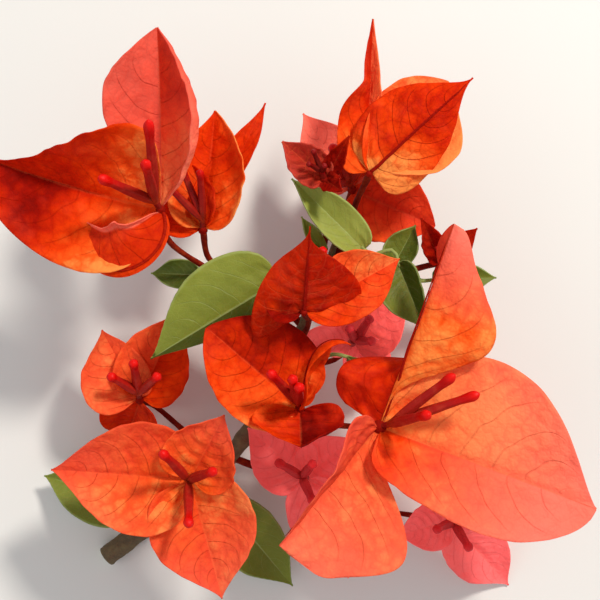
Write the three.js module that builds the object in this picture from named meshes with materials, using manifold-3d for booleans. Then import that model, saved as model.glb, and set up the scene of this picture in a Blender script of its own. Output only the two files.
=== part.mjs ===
// A cut flowering spray of orange bougainvillea, lying on a flat surface.
// Millimetres, +Z up. The spray is laid out around the middle of its face: X to the right and
// Y up as you look down on it, Z above the surface that it lies on.
// The woody stem rises from its flat cut at the lower left. Stalks leave it and end in blooms.
// A bloom is three papery bracts round three slim flowers, and the leaves stand between them.
import * as THREE from "three";
import { mergeVertices } from "three/addons/utils/BufferGeometryUtils.js";
import Module from "manifold-3d";

const wasm = await Module();
wasm.setup();

// Driving sizes
const middle = { x: -6.02, y: -4.985, z: 0 }; // middle of the foot of the whole spray's box
const gap = 0.3; // clearance between two pieces that touch
const bractThick = 0.8;
const leafThick = 0.8;
const knobRadius = 1.5; // where a stalk ends and the bracts start
const padRadius = 1.0; // small pad that carries the three flowers
const padRise = 2.6; // the pad's height above the knob's middle, along the bloom's axis
const stemSides = 8;
const stalkSides = 5;
const flowerSides = 5;
const flowerRadius = 0.95;
const degree = Math.PI / 180;

const looks = {
  bark: ["#6b5a3c", 0.85],
  stalk: ["#6e3320", 0.7],
  bract: ["#e8481a", 0.6],
  bractPink: ["#e2574a", 0.6],
  bractYoung: ["#8c1414", 0.5],
  flower: ["#a3161a", 0.5],
  leaf: ["#5f8233", 0.5],
};
const material = Object.fromEntries(
  Object.entries(looks).map(([name, [color, roughness]]) => [
    name,
    new THREE.MeshStandardMaterial({ name, color, roughness, metalness: 0 }),
  ]),
);

// Half of a blade, from its midrib to one edge
const half = (wide, more = {}) => ({
  wide, // from midrib to edge at the widest place
  belly: 0.36, // where that is, from base (0) to tip (1)
  ends: [0.6, 1.2], // how sharply the outline closes at the base and at the tip
  fold: [10, 10], // how steeply it stands up from the midrib, near the base and near the tip
  folds: null, // or the same at several places from base to tip
  cup: 25, // how much further it bends up on its way to the edge
  lip: 0, // how much more at the very edge
  ...more,
});

// A bract or leaf. Angles are in degrees, and turn is its bearing in the plan.
const blade = (turn, rise, long, left, right, more = {}) => ({
  turn,
  rise,
  long,
  halves: [left, right],
  roll: 0, // turn of the face about the midrib: at 0 it looks up, at 180 down
  curl: [0, 0], // bend of the midrib towards the face: even, and growing to the tip
  sway: 0, // bend of the midrib to the left
  twist: 0, // turn of the face from base to tip
  wave: 0.6, // height of the waves in the edge
  waves: 1.6,
  phase: 0,
  lobe: 0.25, // how far the corners of the base reach back, as a share of the half's width
  settle: 0.45, // where each half's second fold is reached, from base (0) to tip (1)
  ...more,
});

// The woody stem: from the cut, through its bends, to the tip behind the middle bloom
const stem = {
  path: [
    [-46, -61, 2.4],
    [-33, -51, 3.4],
    [-19.5, -40, 8],
    [-7, -22, 18],
    [0, -7, 26],
    [5, 5, 28],
    [7.8, 13, 32],
  ],
  radii: [2.4, 2.2, 2.0, 1.7, 1.4, 1.1, 0.6],
  steps: 16,
};

// Each bloom: its heart, where its stalk leaves the stem (0 at the cut, 1 at the tip) and the
// places it passes, the axis of its flowers, its bracts and its flowers (bearing, slope, length).
const blooms = {
  left: {
    heart: [-28.4, 18.4, 42],
    from: 0.72,
    via: [[-9, 0, 25], [-20, 6.8, 28.5], [-27.5, 12.5, 36]],
    axis: [120, 50],
    bracts: [
      blade(168, -2, 46,
        half(16.5, { belly: 0.28, fold: [10, 6], cup: 10 }),
        half(20, { belly: 0.18, ends: [0.9, 4.6], fold: [28, 44] }),
        { sway: -12, lobe: 0.05 }),
      blade(89.5, 6, 36,
        half(12, { belly: 0.58, ends: [0.8, 0.9], fold: [18, 14] }),
        half(14.5, { belly: 0.5, ends: [1, 1], fold: [24, 30], cup: 10, lip: 110 }),
        { sway: 2 }),
      blade(-68, 20, 33,
        half(11, { belly: 0.5, ends: [0.45, 0.4], fold: [-34, -34], cup: 40, lip: -150 }),
        half(1.5),
        { roll: 180, sway: 212, lobe: 0 }),
    ],
    flowers: [[86.5, 52, 22.5], [89, 70, 18], [159, 57, 17.5]],
  },
  leftBack: {
    far: true,
    heart: [-20.8, 15, 30],
    from: 0.79,
    via: [[-9, 3.5, 26.5], [-19.5, 8.6, 25.5]],
    axis: [85, 45],
    bracts: [
      blade(84, 4, 25,
        half(9),
        half(10.5, { belly: 0.42, ends: [0.6, 0.8], cup: 40, lip: 30 })),
      blade(118, -12, 19, half(8), half(8), { roll: -20 }),
      blade(64, -2, 30,
        half(6, { belly: 0.25, ends: [0.6, 1.5] }),
        half(2.8, { belly: 0.6, ends: [0.6, 1.2] })),
    ],
    flowers: [[110, 30, 14], [90, 40, 13], [135, 40, 13]],
  },
  right: {
    heart: [16.3, -26.1, 40],
    from: 0.52,
    via: [[-3, -24, 23], [5, -26, 33], [11, -26.2, 38.5]],
    axis: [20, 40],
    bracts: [
      blade(71, 12, 44,
        half(11.8, { belly: 0.15, ends: [0.6, 0.65], cup: 5, lobe: -0.15,
          folds: [[0, -10], [0.14, -10], [0.3, -110], [0.7, -110], [0.95, -60]] }),
        half(16, { belly: 0.56, ends: [3, 0.55], fold: [42, 32], cup: -45 })),
      blade(-20.5, 2, 46.8,
        half(21.5, { belly: 0.4, ends: [0.6, 1.1], fold: [4, 4], cup: 8, lobe: 0.1 }),
        half(13.2, { belly: 0.5, ends: [0.2, 0.5], fold: [20, 4], lobe: 0.1 }),
        { wave: 1.4 }),
      blade(-131, 8, 31,
        half(21.6, { belly: 0.62, ends: [1, 0.4], fold: [4, 0], cup: 0 }),
        half(12, { fold: [50, 78], cup: 0 })),
    ],
    flowers: [[27, 62, 16], [22, 25, 20.5], [42.5, 36, 20]],
  },
  top: {
    heart: [14, 25.5, 44],
    from: 0.93,
    via: [[10.2, 13.2, 31], [11.2, 18.6, 33.6]],
    axis: [42, -8],
    slim: 0.6,
    bracts: [
      blade(42.5, 10, 27.5,
        half(8.6, { belly: 0.27, ends: [0.45, 1.6], cup: 15 }),
        half(10.8, { belly: 0.38, ends: [0.5, 1.5], cup: 15 }),
        { roll: 180, curl: [6, 0], lobe: 0.15 }),
      blade(50, -26, 28.5,
        half(9.6, { belly: 0.5, ends: [0.6, 0.8] }),
        half(12.6, { belly: 0.45, ends: [1.3, 0.8] }),
        { curl: [10, 0] }),
      blade(88.8, -22, 33.8,
        half(6.6, { belly: 0.25, ends: [0.6, 0.9], cup: 0, folds: [[0, -5], [0.33, -5], [0.56, 70]] }),
        half(3.6, { belly: 0.36, ends: [0.9, 0.9], fold: [-5, 50], cup: 0 }),
        { curl: [18, 0], sway: -2 }),
    ],
    flowers: [[44, -7, 13], [51, -8, 12], [36, -8, 12]],
  },
  topBack: {
    far: true,
    heart: [11.5, 24.3, 22],
    from: 0.88,
    via: [[8.5, 14, 23], [10.3, 20.5, 18]],
    axis: [120, 60],
    bracts: [
      blade(-24, 4, 19.5, half(9, { ends: [0.5, 0.8] }), half(10, { ends: [0.5, 0.8] })),
      blade(122, -6, 20, half(7), half(7)),
      blade(62, -52, 28, half(7.5), half(7.5), { curl: [6, 0] }),
    ],
    flowers: [[120, 50, 13], [60, 50, 13], [180, 50, 12]],
  },
  bud: {
    far: true,
    heart: [5.1, 24.5, 42],
    from: 0.86,
    via: [[5.6, 14, 30.8], [7, 19.6, 33.6]],
    axis: [110, 50],
    look: "bractYoung",
    slim: 0.5,
    bracts: [
      blade(139, 8, 11.2, half(4.2), half(4.6, { cup: 40 }), { lobe: 0.4 }),
      blade(60, 30, 10.4, half(2.4, { cup: 50 }), half(2.4, { cup: 50 })),
      blade(-40, 50, 6, half(2.4), half(2.4)),
    ],
    flowers: [[118, 45, 6], [60, 82, 5], [160, 50, 5]],
  },
  rightBud: {
    far: true,
    heart: [30.9, 8.3, 24],
    from: 0.8,
    via: [[12, 3.5, 25], [22, 6, 24]],
    axis: [80, 60],
    look: "bractYoung",
    slim: 0.5,
    bracts: [
      blade(118, 30, 11.5, half(3.4, { cup: 50 }), half(3.4, { cup: 50 })),
      blade(44, 20, 10.5, half(3.4), half(3.4)),
      blade(-60, 10, 8, half(3), half(3)),
    ],
    flowers: [[80, 60, 6], [30, 60, 5], [140, 60, 5]],
  },
  middle: {
    heart: [0.8, -2.5, 42.5],
    from: 0.66,
    via: [[1.8, -5, 33], [0.9, -3, 38.5]],
    axis: [60, -20],
    bracts: [
      blade(86, 26, 18.5,
        half(12, { belly: 0.24, ends: [0.7, 3], cup: 8, lobe: 0.45 }),
        half(11, { belly: 0.15, ends: [0.65, 1.8], cup: 4, lobe: 1.05 }),
        { roll: 180 }),
      blade(29, -12, 22.8,
        half(8, { belly: 0.45, fold: [0, 20] }),
        half(7.5, { belly: 0.45, fold: [0, 10] })),
      blade(150, -26, 10, half(5), half(5)),
    ],
    flowers: [[76, -11, 12], [92, -12, 11], [110, -10, 11]],
  },
  centreBack: {
    far: true,
    heart: [11.8, -9.6, 16],
    from: 0.6,
    via: [[1.5, -15.5, 16], [8.5, -13.4, 12.4]],
    axis: [40, 70],
    look: "bractPink",
    bracts: [
      blade(38, 10, 15.5, half(7.5), half(7.5)),
      blade(174, 4, 12, half(4), half(4)),
      blade(-50, -20, 13, half(6), half(6)),
    ],
    flowers: [[60, 40, 8], [120, 60, 7], [0, 60, 7]],
  },
  low: {
    heart: [0, -22.8, 34],
    from: 0.58,
    via: [[-2.5, -21, 27]],
    axis: [110, 60],
    bracts: [
      blade(139, 4, 25.5,
        half(11, { belly: 0.4, ends: [0.5, 0.7] }),
        half(12.6, { belly: 0.4, ends: [0.4, 0.7], fold: [6, 4], cup: 10 })),
      blade(70, 24, 22, half(4.5), half(4.5), { roll: 72, curl: [-90, 190] }),
      blade(-88, 25, 16, half(10), half(11), { curl: [85, 0] }),
    ],
    flowers: [[128, 52, 15], [100, 64, 14.5], [86, 71, 14]],
  },
  lowLeft: {
    far: true,
    heart: [-36.2, -22.6, 16],
    from: 0.36,
    via: [[-24, -33, 10], [-33, -25, 10]],
    axis: [90, 50],
    bracts: [
      blade(118, 4, 17.5, half(11), half(6)),
      blade(66, 6, 21.5, half(9), half(9)),
      blade(-116, -50, 19.8, half(8), half(8)),
    ],
    flowers: [[90, 50, 12], [140, 50, 11], [40, 50, 11]],
  },
  nearCut: {
    far: true,
    heart: [-23.6, -38.6, 30],
    from: 0.26,
    via: [[-24, -40, 18]],
    axis: [100, 80],
    bracts: [
      blade(175, 0, 29, half(13), half(13), { curl: [10, 0] }),
      blade(-75, -6, 26, half(13), half(12), { curl: [10, 0] }),
      blade(62, 20, 17, half(9), half(9)),
    ],
    flowers: [[120, 55, 15], [-80, 60, 15], [30, 60, 15]],
  },
  lowBack: {
    far: true,
    heart: [1.1, -40.4, 15],
    from: 0.46,
    via: [[-5, -31, 12.5], [-0.6, -38, 11.4]],
    axis: [140, 70],
    look: "bractPink",
    bracts: [
      blade(138, 8, 17, half(8), half(8)),
      blade(40, 4, 14, half(7), half(7)),
      blade(-67, -10, 27, half(8), half(8)),
    ],
    flowers: [[140, 50, 11], [60, 60, 10], [-60, 60, 10]],
  },
  rightBack: {
    far: true,
    heart: [34.2, -50.2, 14],
    from: 0.4,
    via: [[-4, -41, 9], [14, -48, 8], [26, -50, 9]],
    axis: [0, 80],
    look: "bractPink",
    bracts: [
      blade(-49, -34, 27, half(8), half(8), { curl: [10, 0] }),
      blade(-165, 6, 12, half(6), half(6)),
      blade(60, 10, 14, half(7), half(7)),
    ],
    flowers: [[60, 50, 11], [180, 60, 10], [-60, 60, 10]],
  },
};

// Each leaf: what it grows from and where along it, the foot of its blade, and the blade
const leaves = {
  upper: { on: "stem", at: 0.93, foot: [13.3, 10.6, 36.4], blade:
    blade(136, 6, 21, half(4.5, { fold: [20, 20] }), half(5, { fold: [10, 10] })) },
  left: { on: "stem", at: 0.83, foot: [-4.6, 3.9, 31], blade:
    blade(211, -2, 32, half(5.4, { fold: [-12, -45], cup: 0 }), half(11.6, { cup: 5 })) },
  right: { on: "stem", at: 0.88, foot: [20.9, 7.8, 31], blade:
    blade(-68, 2, 15, half(4.5, { fold: [30, 40] }), half(7)) },
  rightUp: { on: "rightBud", at: 0.5, foot: [20.6, 7.8, 26], blade:
    blade(62, 4, 9.6, half(4.4), half(3.4)) },
  far: { on: "rightBud", at: 0.8, foot: [29.5, 4.5, 21], blade:
    blade(2, -8, 14.6, half(4), half(4)) },
  edge: { on: "centreBack", at: 0.4, foot: [10.4, -12.4, 27], blade:
    blade(-12, 4, 10, half(3), half(3), { roll: 70 }) },
  young: { on: "stem", at: 0.9, foot: [5, 10, 33.5], blade:
    blade(122, 10, 9, half(1.8), half(1.8)) },
  low: { on: "stem", at: 0.12, foot: [-39, -47, 8], blade:
    blade(165, -6, 22, half(8), half(8)) },
  foot: { on: "stem", at: 0.3, foot: [-18, -47, 9], blade:
    blade(-52, -12, 27, half(8), half(8)) },
  dark: { on: "left", at: 0.55, foot: [-22, 5.5, 26], blade:
    blade(178, -12, 11, half(3.5), half(3.5)) },
};

// Unit direction from a bearing in the plan and a slope above it
function heading(turn, rise) {
  const level = Math.cos(rise * degree);
  return new THREE.Vector3(
    level * Math.cos(turn * degree),
    level * Math.sin(turn * degree),
    Math.sin(rise * degree),
  );
}

const mix = (a, b, t) => a + (b - a) * t;
const ease = (t) => t * t * (3 - 2 * t);

// A fold that passes smoothly through its stops
function foldAt(stops, u) {
  const next = stops.findIndex(([at]) => at > u);
  if (next < 0) return stops[stops.length - 1][1];
  const [[at, from], [end, to]] = [stops[next - 1], stops[next]];
  return mix(from, to, ease((u - at) / (end - at)));
}

// The midrib as a run of places with their turning frames: x along it, y to its left, z its face.
function midrib(shape, start, count) {
  const along = heading(shape.turn, shape.rise);
  const face = new THREE.Vector3(0, 0, 1).addScaledVector(along, -along.z).normalize();
  face.applyAxisAngle(along, shape.roll * degree);
  const side = new THREE.Vector3().crossVectors(face, along);
  const first = new THREE.Quaternion().setFromRotationMatrix(
    new THREE.Matrix4().makeBasis(along, side, face),
  );
  const place = start.clone();
  return Array.from({ length: count + 1 }, (_, i) => {
    const u = i / count;
    const bend = (shape.curl[0] * u + shape.curl[1] * u * u) * degree;
    const turning = first
      .clone()
      .multiply(
        new THREE.Quaternion().setFromEuler(
          new THREE.Euler(0, -bend, shape.sway * u * degree, "ZYX"),
        ),
      );
    const here = place.clone();
    place.addScaledVector(new THREE.Vector3(1, 0, 0).applyQuaternion(turning), shape.long / count);
    turning.multiply(
      new THREE.Quaternion().setFromAxisAngle(new THREE.Vector3(1, 0, 0), shape.twist * u * degree),
    );
    return { here, turning };
  });
}

// A place on a blade's middle surface: u from base to tip, v from the right edge (-1) to the left (1)
const ribSteps = 200;
function bladePlace(shape, rib, u, v) {
  const { here, turning } = rib[Math.round(Math.min(Math.max(u, 0), 1) * ribSteps)];
  const side = shape.halves[v < 0 ? 1 : 0];
  const inside = Math.min(Math.max(u, 0.0001), 0.9999);
  const close = mix(side.ends[0], side.ends[1], inside ** 2);
  const outline = Math.sin(Math.PI * inside ** (Math.log(0.5) / Math.log(side.belly))) ** close;
  const wide = Math.max(0.5, side.wide * outline);
  const s = Math.abs(v);
  const fold = foldAt(side.folds ?? [[0, side.fold[0]], [shape.settle, side.fold[1]]], inside);
  const steps = 6;
  let out = 0;
  let up = 0;
  for (let i = 0; i < steps; i++) {
    const across = ((i + 0.5) / steps) * s;
    const bend = (fold + side.cup * across + side.lip * across ** 4) * degree;
    out += (Math.cos(bend) * s * wide) / steps;
    up += (Math.sin(bend) * s * wide) / steps;
  }
  const swell = shape.wave * outline * s * s;
  up += swell * Math.sin(2 * Math.PI * shape.waves * u + shape.phase + (v < 0 ? 2 : 0));
  const back = -(side.lobe ?? shape.lobe) * wide * s * s * (1 - inside) ** 3;
  return new THREE.Vector3(back, Math.sign(v) * out, up).applyQuaternion(turning).add(here);
}

// Closed loops of places round a blade's thickness, thin at both edges
function bladeRows(shape, start, thick, rows, columns) {
  const rib = midrib(shape, start, ribSteps);
  const small = 0.01;
  return rows.map((u) => {
    const top = [];
    const bottom = [];
    for (let j = 0; j <= columns; j++) {
      const v = (2 * j) / columns - 1;
      const here = bladePlace(shape, rib, u, v);
      const near = Math.min(Math.max(u, small), 1 - small);
      const du = bladePlace(shape, rib, near + small, v).sub(bladePlace(shape, rib, near - small, v));
      const dv = bladePlace(shape, rib, near, v + small).sub(bladePlace(shape, rib, near, v - small));
      const normal = new THREE.Vector3().crossVectors(du, dv).normalize();
      const depth = j === 0 || j === columns ? 0 : thick / 2;
      top.push(here.clone().addScaledVector(normal, depth));
      if (depth) bottom.unshift(here.clone().addScaledVector(normal, -depth));
    }
    return [...top, ...bottom];
  });
}

// A closed surface over a run of loops, with a flat fan at each end
function skin(loops) {
  const count = loops[0].length;
  const places = loops.flat();
  const index = [];
  for (let i = 0; i + 1 < loops.length; i++)
    for (let j = 0; j < count; j++) {
      const [a, b] = [i * count + j, i * count + ((j + 1) % count)];
      index.push(a, b, a + count, b, b + count, a + count);
    }
  const last = (loops.length - 1) * count;
  for (let j = 1; j + 1 < count; j++) index.push(0, j + 1, j, last, last + j, last + j + 1);
  const geometry = new THREE.BufferGeometry().setFromPoints(places);
  geometry.setIndex(volumeOf(places, index) < 0 ? index.reverse() : index);
  return geometry;
}

function volumeOf(places, index) {
  let sum = 0;
  for (let i = 0; i < index.length; i += 3) {
    const [a, b, c] = [places[index[i]], places[index[i + 1]], places[index[i + 2]]];
    sum += a.dot(new THREE.Vector3().crossVectors(b, c));
  }
  return sum;
}

function solid(geometry) {
  const merged = mergeVertices(geometry, 1e-4);
  return new wasm.Manifold(
    new wasm.Mesh({
      numProp: 3,
      vertProperties: new Float32Array(merged.attributes.position.array),
      triVerts: new Uint32Array(merged.index.array),
    }),
  );
}

function ball(centre, radius) {
  const geometry = new THREE.IcosahedronGeometry(radius, 0);
  geometry.deleteAttribute("normal");
  geometry.deleteAttribute("uv");
  geometry.translate(centre.x, centre.y, centre.z);
  return solid(geometry);
}

// A tapering round limb along a smooth curve through some places. grow widens it on all sides.
function limb(path, radii, sides, steps, grow = 0) {
  const curve = new THREE.CatmullRomCurve3(path);
  const frames = curve.computeFrenetFrames(steps, false);
  const loops = [];
  for (let i = 0; i <= steps; i++) {
    const centre = curve.getPointAt(i / steps);
    const at = (i / steps) * (radii.length - 1);
    const k = Math.min(Math.floor(at), radii.length - 2);
    const radius = mix(radii[k], radii[k + 1], at - k) + grow;
    loops.push(
      Array.from({ length: sides }, (_, j) => {
        const a = (2 * Math.PI * j) / sides;
        return centre
          .clone()
          .addScaledVector(frames.normals[i], radius * Math.cos(a))
          .addScaledVector(frames.binormals[i], radius * Math.sin(a));
      }),
    );
  }
  return solid(skin(loops));
}

const toVectors = (list) => list.map((place) => new THREE.Vector3(...place));

const stemPath = toVectors(stem.path);
const stemCurve = new THREE.CatmullRomCurve3(stemPath);
const stemSolid = limb(stemPath, stem.radii, stemSides, stem.steps);
const stemCutter = limb(stemPath, stem.radii, stemSides, stem.steps, gap);

const frontRows = [0, 0.04, 0.13, 0.28, 0.48, 0.68, 0.86, 0.995];
const flowerProfile = [0.65, 0.75, 0.95, 1.1, 0.95, 1.45, 0.6];

const stalkRadii = [0.9, 0.75, 0.65, 0.6, 0.75];
const stalkSteps = 8;

function stalkPathOf(bloom) {
  return toVectors([stemCurve.getPointAt(bloom.from).toArray(), ...bloom.via, bloom.heart]);
}

// A leaf's stalk starts inside what it grows from and is cut back to its bark.
function makeLeaf({ on, at, foot, blade: shape }) {
  const parent = on === "stem" ? stemPath : stalkPathOf(blooms[on]);
  const cutter =
    on === "stem" ? stemCutter : limb(parent, stalkRadii, stalkSides, stalkSteps, gap);
  const root = new THREE.CatmullRomCurve3(parent).getPointAt(at);
  const start = new THREE.Vector3(...foot);
  const lead = start.clone().addScaledVector(heading(shape.turn, shape.rise), -3);
  const inside = start.clone().addScaledVector(heading(shape.turn, shape.rise), 0.8);
  const rows = [0, 0.08, 0.28, 0.55, 0.8, 0.995];
  return solid(skin(bladeRows(shape, start, leafThick, rows, 4)))
    .add(limb([root, lead, inside], [0.55, 0.5, 0.4], 4, 4))
    .subtract(cutter);
}

function makeBloom(name, bloom) {
  const heart = new THREE.Vector3(...bloom.heart);
  const pad = heart.clone().addScaledVector(heading(...bloom.axis), padRise);
  const [rows, columns] = bloom.far ? [[0, 0.07, 0.25, 0.5, 0.76, 0.995], 4] : [frontRows, 6];
  let bracts = ball(heart, knobRadius);
  for (const shape of bloom.bracts) {
    const start = heart.clone().addScaledVector(heading(shape.turn, shape.rise), 0.5);
    bracts = bracts.add(solid(skin(bladeRows(shape, start, bractThick, rows, columns))));
  }
  const sides = bloom.far ? 4 : flowerSides;
  const shape = bloom.far ? [0.7, 0.9, 0.95, 1.4, 0.6] : flowerProfile;
  const profile = shape.map((share) => share * (bloom.slim ?? flowerRadius));
  let flowers = ball(pad, padRadius);
  for (const [turn, rise, long] of bloom.flowers) {
    const way = heading(turn, rise);
    const end = pad.clone().addScaledVector(way, long);
    const bow = pad.clone().addScaledVector(way, long * 0.5).add(new THREE.Vector3(0, 0, -0.5));
    flowers = flowers.add(limb([pad, bow, end], profile, sides, profile.length - 1));
  }
  const stalkPath = stalkPathOf(bloom);
  const stalk = limb(stalkPath, stalkRadii, stalkSides, stalkSteps)
    .subtract(stemCutter)
    .subtract(ball(heart, knobRadius + gap));
  return [
    [`bracts_${name}`, bracts.subtract(ball(pad, padRadius + gap)), material[bloom.look ?? "bract"]],
    [`flowers_${name}`, flowers, material.flower],
    [`stalk_${name}`, stalk, material.stalk],
  ];
}

const spray = new THREE.Group();

function addNode(name, body, look) {
  const pieces = body.decompose().sort((a, b) => b.volume() - a.volume());
  const { vertProperties, triVerts } = pieces[0].getMesh();
  const geometry = new THREE.BufferGeometry();
  geometry.setAttribute("position", new THREE.BufferAttribute(vertProperties, 3));
  geometry.setIndex(new THREE.BufferAttribute(triVerts, 1));
  geometry.computeVertexNormals();
  const mesh = new THREE.Mesh(geometry, look);
  mesh.name = name;
  spray.add(mesh);
}

addNode("stem", stemSolid, material.bark);
for (const [name, bloom] of Object.entries(blooms))
  for (const node of makeBloom(name, bloom)) addNode(...node);
for (const [name, leaf] of Object.entries(leaves))
  addNode(`leaf_${name}`, makeLeaf(leaf), material.leaf);

spray.position.set(-middle.x, -middle.y, -middle.z);
export default spray;
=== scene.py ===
import math
import bpy
import numpy as np
from mathutils import Matrix, Quaternion, Vector, noise


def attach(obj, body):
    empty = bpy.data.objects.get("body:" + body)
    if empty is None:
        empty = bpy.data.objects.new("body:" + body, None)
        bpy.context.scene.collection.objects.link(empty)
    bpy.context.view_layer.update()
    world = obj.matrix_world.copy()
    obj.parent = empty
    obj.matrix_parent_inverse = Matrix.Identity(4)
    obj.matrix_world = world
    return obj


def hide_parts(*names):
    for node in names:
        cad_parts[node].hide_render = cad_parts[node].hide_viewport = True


# A cut flowering spray of orange bougainvillea, lying on a pale floor and seen from straight above.
# Sizes are millimetres in the spray's own layout, as in the part's source, until a mesh is filled.
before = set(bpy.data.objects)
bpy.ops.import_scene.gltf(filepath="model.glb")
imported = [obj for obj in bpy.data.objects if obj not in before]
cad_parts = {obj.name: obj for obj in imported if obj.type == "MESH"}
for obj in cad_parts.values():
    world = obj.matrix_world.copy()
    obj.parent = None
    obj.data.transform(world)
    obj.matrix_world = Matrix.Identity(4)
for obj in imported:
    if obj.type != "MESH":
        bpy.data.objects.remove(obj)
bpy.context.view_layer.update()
bpy.ops.object.select_all(action="DESELECT")
print("frame loaded with", len(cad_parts), "solids")

middle = Vector((-6.02, -4.985, 0))  # middle of the foot of the spray's box, in its layout
metres = 0.001


def place(x, y, z):
    return (Vector((x, y, z)) - middle) * metres


# Camera, floor and light

cameraSettings = {
    "lens": 70,  # on Blender's own sensor, 36 wide
    "height": 280,  # above the floor
    "nearest": 0.01,  # what it sees, in metres
}


def addCamera(settings):
    bpy.ops.object.camera_add(location=place(0, 0, settings["height"]), rotation=(0, 0, 0))
    camera = bpy.context.object
    camera.name = "cameraAbove"
    camera.data.lens = settings["lens"]
    camera.data.clip_start = settings["nearest"]
    bpy.context.scene.camera = camera


studioSettings = {
    "floorSize": 4.0,  # metres
    "floorColour": (0.66, 0.65, 0.62),
    "floorRoughness": 0.8,
    "skyColour": (0.95, 0.97, 1.0),
    "skyStrength": 0.62,
    "aim": (0, 0, 0.03),  # where both lights point, in metres
    "keyLight": {"place": (0.34, 0.42, 0.62), "size": 0.11, "power": 6.5, "colour": (1.0, 0.95, 0.88)},
    "fillLight": {"place": (-0.6, -0.2, 0.6), "size": 0.8, "power": 1.2, "colour": (1, 1, 1)},
}


def addLight(name, settings):
    lamp = settings[name]
    bpy.ops.object.light_add(type="AREA", location=lamp["place"])
    light = bpy.context.object
    light.name = name
    light.data.size = lamp["size"]
    light.data.energy = lamp["power"]
    light.data.color = lamp["colour"]
    way = Vector(settings["aim"]) - Vector(lamp["place"])
    light.rotation_euler = way.to_track_quat("-Z", "Y").to_euler()


def addStudio(settings):
    bpy.ops.mesh.primitive_plane_add(size=settings["floorSize"], location=(0, 0, 0))
    floor = bpy.context.object
    floor.name = "paleFloor"
    floorFinish = bpy.data.materials.new("paleFloorFinish")
    floorFinish.use_nodes = True
    shader = floorFinish.node_tree.nodes["Principled BSDF"]
    shader.inputs["Base Color"].default_value = (*settings["floorColour"], 1)
    shader.inputs["Roughness"].default_value = settings["floorRoughness"]
    floor.data.materials.append(floorFinish)
    for name in ("keyLight", "fillLight"):
        addLight(name, settings)
    world = bpy.data.worlds.new("studioSky")
    world.use_nodes = True
    sky = world.node_tree.nodes["Background"]
    sky.inputs["Color"].default_value = (*settings["skyColour"], 1)
    sky.inputs["Strength"].default_value = settings["skyStrength"]
    bpy.context.scene.world = world
    bpy.context.scene.view_settings.view_transform = "Standard"


addCamera(cameraSettings)
addStudio(studioSettings)
print("camera, floor and light are set")

# Shader maths: an expression on Value objects adds its Math nodes. Colours are a screen's, 0 to 255.


def linear(colour):
    parts = [part / 255 for part in colour]
    return *(part / 12.92 if part <= 0.04045 else ((part + 0.055) / 1.055) ** 2.4 for part in parts), 1


def plug(target, value):
    if isinstance(value, Value):
        target.id_data.links.new(value.socket, target)
    else:
        target.default_value = linear(value) if target.type == "RGBA" else value


class Value:
    def __init__(self, socket):
        self.socket = socket

    def math(self, operation, *others, clamp=False):
        made = self.socket.id_data.nodes.new("ShaderNodeMath")
        made.operation = operation
        made.use_clamp = clamp
        for target, value in zip(made.inputs, (self, *others)):
            plug(target, value)
        return Value(made.outputs[0])

    def __add__(self, other):
        return self.math("ADD", other)

    __radd__ = __add__

    def __mul__(self, other):
        return self.math("MULTIPLY", other)

    __rmul__ = __mul__

    def __sub__(self, other):
        return self.math("SUBTRACT", other)

    def __rsub__(self, other):
        return (self * -1).math("ADD", other)

    def __pow__(self, other):
        return self.math("POWER", other)

    def __abs__(self):
        return self.math("ABSOLUTE")

    def clamped(self):
        return self.math("ADD", 0, clamp=True)


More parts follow.
